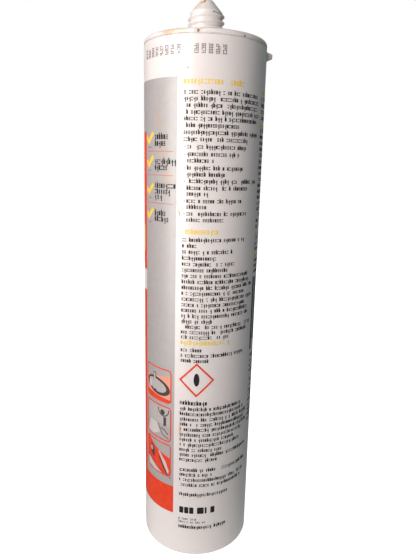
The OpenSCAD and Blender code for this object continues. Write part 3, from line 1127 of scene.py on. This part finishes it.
class CARTRIDGE_OT_small_print(bpy.types.Operator):
    """Prints the rows of abstract marks that stand for the small print and its headings"""

    bl_idname = "cartridge.small_print"
    bl_label = "Small print"

    def execute(self, context):
        look = context.scene.cartridge_print
        left, indent = wide(MAIN_LEFT), 1.5
        plain = {"Lift": look.film, "Seed": look.seed}
        bold = {"Lift": look.film, "Stroke": 0.36 * MM, "Gap share": 0.08, "Seed": look.seed + 5}
        main = [(left, z, width) for z, width in MAIN_ROWS]
        main += [(left + indent, z, width) for z, width in BULLET_ROWS]
        start = wide(-48.8)
        labels = [(start, z, width) for z, width in LABEL_ROWS]
        rows_piece(
            "small_print", "ink_dark",
            (main, plain),
            ([(left, 75.5, 10.8)], {**bold, **sized(1.5, 1.15, 0.45), "Gap share": 0.0}),
            ([(left, 14.4, 21.5)], {**bold, **sized(1.3, 1.02, 0.40)}),
            ([(left, 18.6, 7.5), (left, 17.0, 11.5)], {**plain, **sized(0.8, 0.75, 0.17)}),
            (labels, {**bold, **sized(1.75, 1.2, 0.47), "Lift": look.film * 1.7, "Gap share": 0.0}),
            (self.second_column(), {**plain, "Seed": look.seed + 40}),
        )
        heads = [(left, 203.7, 22.5), (left, 148.5, 13.5), (left, 102.6, 20.0)]
        heads += [(wide(66), z, 10.0) for z in (202.0, 189.5, 146.0, 137.0)]
        rows_piece("yellow_headings", "ink_yellow", (
            heads, {**bold, **sized(1.6, 1.2, 0.45), "Gap share": 0.07, "Seed": look.seed + 61},
        ))
        dashes = [box_face(left, left + 0.6, z - 0.1, z + 0.1) for z in BULLET_STARTS]
        film_piece("bullet_dashes", "ink_dark", (FIELD_LIFT, *dashes))
        blocks = [
            round_box(left + start, left + start + width, 21.6, 24.8, 0.35, 2)
            for start, width in ((0.0, 1.9), (2.3, 1.9), (4.6, 1.9), (8.1, 3.0), (11.6, 0.8), (14.2, 1.9))
        ]
        film_piece("large_blocks", "ink_dark", (FIELD_LIFT, *blocks))
        return {"FINISHED"}

    def second_column(self):
        """Rows that run out of sight round the right side and end behind."""
        start = wide(66)
        skipped = ((201, 204), (188.5, 191), (145, 147.5), (136, 138.5), (92, 130))
        rows = []
        z, count = 200.0, 0
        while z > 60:
            if not any(low < z < high for low, high in skipped):
                rows.append((start, z, (17.0, 20.0, 12.0, 19.0, 15.5)[count % 5]))
            z -= 2.4
            count += 1
        return rows


class CARTRIDGE_OT_code(bpy.types.Operator):
    """Prints the dotted blocks under the shoulder and the tall block at the side"""

    bl_idname = "cartridge.code"
    bl_label = "Dotted blocks"

    def execute(self, context):
        look = context.scene.cartridge_print
        spacing, z = 2.48, 214.8
        rows = [(wide(-64.5), z, 7.2 * spacing), (wide(-7.6), z, 4.2 * spacing)]
        inputs = {
            "Lift": look.film, "Mark spacing": spacing * MM, "Stroke": 0.43 * MM, "Dots": 1.0,
            "Seed": look.seed + 83,
        }
        rows_piece("dotted_blocks", "ink_jet", (rows, inputs))
        side = wide(64.0)
        film_piece("side_block", "ink_dark", (
            FIELD_LIFT, box_face(side, side + 1.6, 95.0, 128.0),
            box_face(side + 2.6, side + 4.2, 99.0, 128.0),
        ))
        return {"FINISHED"}


# Each light's name, size in metres, colour, angle in degrees from the facing line, distance from
# the axis, height, the height on the axis that it is aimed at, and the rays that don't see it.
LIGHTS = (
    ("key", (0.12, 0.12), (1.0, 0.88, 0.85), -28.0, 0.255, 0.218, 0.205, "glossy"),
    ("low", (0.12, 0.12), (1.0, 0.88, 0.85), -28.0, 0.280, 0.065, 0.065, "glossy"),
    ("side", (0.5, 0.5), (1.0, 0.89, 0.85), -82.0, 0.42, 0.62, 0.2, None),
    ("strip", (0.24, 0.76), (1.0, 1.0, 0.95), -47.0, 0.45, 0.36, 0.36, "diffuse"),
    ("top", (0.2, 0.2), (1.0, 0.90, 0.87), -15.0, 0.22, 0.48, 0.22, None),
    ("back", (0.25, 0.25), (1.0, 0.97, 0.95), 196.0, 0.60, 0.25, 0.12, "glossy"),
)
# The camera's lens and sensor in millimetres, and how far it is turned down, aside and about its
# line of sight, in degrees.
LENS, SENSOR = 31.475, 36.0
CAMERA_PITCH, CAMERA_YAW, CAMERA_ROLL = 13.134, 0.910, 1.503


class CARTRIDGE_OT_stage(bpy.types.Operator):
    """Sets the floor, the soft lights and the camera"""

    bl_idname = "cartridge.stage"
    bl_label = "Stage"

    def execute(self, context):
        scene = context.scene
        look = scene.cartridge_stage
        self.floor(scene)
        self.bounce(scene, look.bounce)
        self.world(scene, look.surround)
        for name, *how in LIGHTS:
            self.light(scene, name + "_light", getattr(look, name + "_power"), *how)
        self.camera(scene, look)
        scene.view_settings.view_transform = "Standard"
        return {"FINISHED"}

    def staged(self, scene, mesh, base, glow, strength, unseen):
        """Puts a glowing stage piece in the scene, where some kinds of ray don't see it."""
        material, _, surface, _ = shader(mesh.name + "_white")
        surface.inputs["Base Color"].default_value = base
        surface.inputs["Emission Color"].default_value = glow
        surface.inputs["Emission Strength"].default_value = strength
        mesh.materials.append(material)
        thing = bpy.data.objects.new(mesh.name, mesh)
        scene.collection.objects.link(thing)
        for ray in unseen:
            setattr(thing, "visible_" + ray, False)
        return surface

    def floor(self, scene):
        """A plain white floor that keeps only a soft shadow close to the base."""
        mesh = bpy.data.meshes.new("stage_floor")
        half, level = 3.0, -0.0002
        corners = [(-half, -half, level), (half, -half, level), (half, half, level), (-half, half, level)]
        mesh.from_pydata(corners, [], [(0, 1, 2, 3)])
        surface = self.staged(
            scene, mesh, (0.9, 0.9, 0.9, 1), (1, 1, 1, 1), 0.92, ("diffuse", "glossy", "shadow"),
        )
        surface.inputs["Roughness"].default_value = 0.9
        surface.inputs["Specular IOR Level"].default_value = 0.0

    def bounce(self, scene, strength):
        """A small glowing disc under the base that only the object's diffuse light sees."""
        bm = bmesh.new()
        bmesh.ops.create_circle(bm, cap_ends=True, segments=48, radius=0.065)
        bmesh.ops.translate(bm, verts=bm.verts, vec=(0, 0, -0.0004))
        mesh = bpy.data.meshes.new("stage_bounce")
        bm.to_mesh(mesh)
        bm.free()
        self.staged(
            scene, mesh, (0, 0, 0, 1), (1, 0.97, 0.95, 1), strength, ("camera", "glossy", "shadow"),
        )

    def world(self, scene, strength):
        """White where the camera looks past the object, and a dim even light elsewhere."""
        world = bpy.data.worlds.new("stage_surround")
        world.use_nodes = True
        tree = world.node_tree
        seen = tree.nodes.new("ShaderNodeLightPath").outputs["Is Camera Ray"]
        backdrop = tree.nodes["Background"]
        feed(tree, backdrop.inputs["Color"], mixed(tree, seen, (0.92, 1.0, 1.02, 1), (1, 1, 1, 1)))
        feed(tree, backdrop.inputs["Strength"], plus(tree, times(tree, seen, 1.0 - strength), strength))
        scene.world = world

    def light(self, scene, name, power, size, colour, angle, distance, height, aim, unseen):
        """A soft rectangular light that the camera doesn't see."""
        data = bpy.data.lights.new(name, "AREA")
        data.shape = "RECTANGLE"
        data.size, data.size_y = size
        data.energy = power
        data.color = colour
        lamp = bpy.data.objects.new(name, data)
        turn = math.radians(FACING + angle)
        lamp.location = (distance * math.cos(turn), distance * math.sin(turn), height)
        aim_way = Vector((0, 0, aim)) - lamp.location
        lamp.rotation_euler = aim_way.to_track_quat("-Z", "Y").to_euler()
        lamp.visible_camera = False
        if unseen:
            setattr(lamp, "visible_" + unseen, False)
        scene.collection.objects.link(lamp)

    def camera(self, scene, look):
        """A camera in front of the barrel, a little above its middle and turned by the three angles."""
        data = bpy.data.cameras.new("camera")
        data.lens = LENS
        data.sensor_width = SENSOR
        camera = bpy.data.objects.new("camera", data)
        pitch, yaw, roll = (math.radians(turn) for turn in (CAMERA_PITCH, CAMERA_YAW, CAMERA_ROLL))
        ahead = Vector((math.sin(yaw) * math.cos(pitch), math.cos(yaw) * math.cos(pitch), -math.sin(pitch)))
        level = Vector((math.cos(yaw), -math.sin(yaw), 0))
        up = level.cross(ahead)
        right = math.cos(roll) * level + math.sin(roll) * up
        over = math.cos(roll) * up - math.sin(roll) * level
        placed = Matrix((right, over, -ahead)).transposed().to_4x4()
        placed.translation = (0, -look.camera_distance, look.camera_height)
        camera.matrix_world = Matrix.Rotation(math.radians(FACING + 90), 4, "Z") @ placed
        scene.collection.objects.link(camera)
        scene.camera = camera


class CARTRIDGE_PT_panel(bpy.types.Panel):
    """Lists the cartridge's operators and sizes"""

    bl_idname = "CARTRIDGE_PT_panel"
    bl_label = "Sealant cartridge"
    bl_space_type = "VIEW_3D"
    bl_region_type = "UI"
    bl_category = "Cartridge"

    def draw(self, context):
        for operator in OPERATORS:
            self.layout.operator(operator.bl_idname)
        for name in GROUPS:
            group = getattr(context.scene, name)
            column = self.layout.column(heading=name)
            for key in group.bl_rna.properties.keys():
                if key not in ("rna_type", "name"):
                    column.prop(group, key)


OPERATORS = (
    CARTRIDGE_OT_shell, CARTRIDGE_OT_piston, CARTRIDGE_OT_fill, CARTRIDGE_OT_fields,
    CARTRIDGE_OT_pictures, CARTRIDGE_OT_small_print, CARTRIDGE_OT_code, CARTRIDGE_OT_stage,
)
GROUPS = {
    "cartridge_sizes": CartridgeSizes, "cartridge_piston": PistonSizes, "cartridge_fill": FillSizes,
    "cartridge_print": PrintLook, "cartridge_plastic": PlasticLook, "cartridge_stage": StageLook,
}


def register():
    for kind in (*GROUPS.values(), *OPERATORS, CARTRIDGE_PT_panel):
        bpy.utils.register_class(kind)
    for name, kind in GROUPS.items():
        setattr(bpy.types.Scene, name, PointerProperty(type=kind))


def unregister():
    for name in GROUPS:
        delattr(bpy.types.Scene, name)
    for kind in reversed((*GROUPS.values(), *OPERATORS, CARTRIDGE_PT_panel)):
        bpy.utils.unregister_class(kind)


def main():
    register()
    bpy.ops.cartridge.shell()
    bpy.ops.cartridge.piston()
    bpy.ops.cartridge.fill()
    bpy.ops.cartridge.fields()
    bpy.ops.cartridge.pictures()
    bpy.ops.cartridge.small_print()
    bpy.ops.cartridge.code()
    bpy.ops.cartridge.stage()
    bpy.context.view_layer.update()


if __name__ == "__main__":
    main()
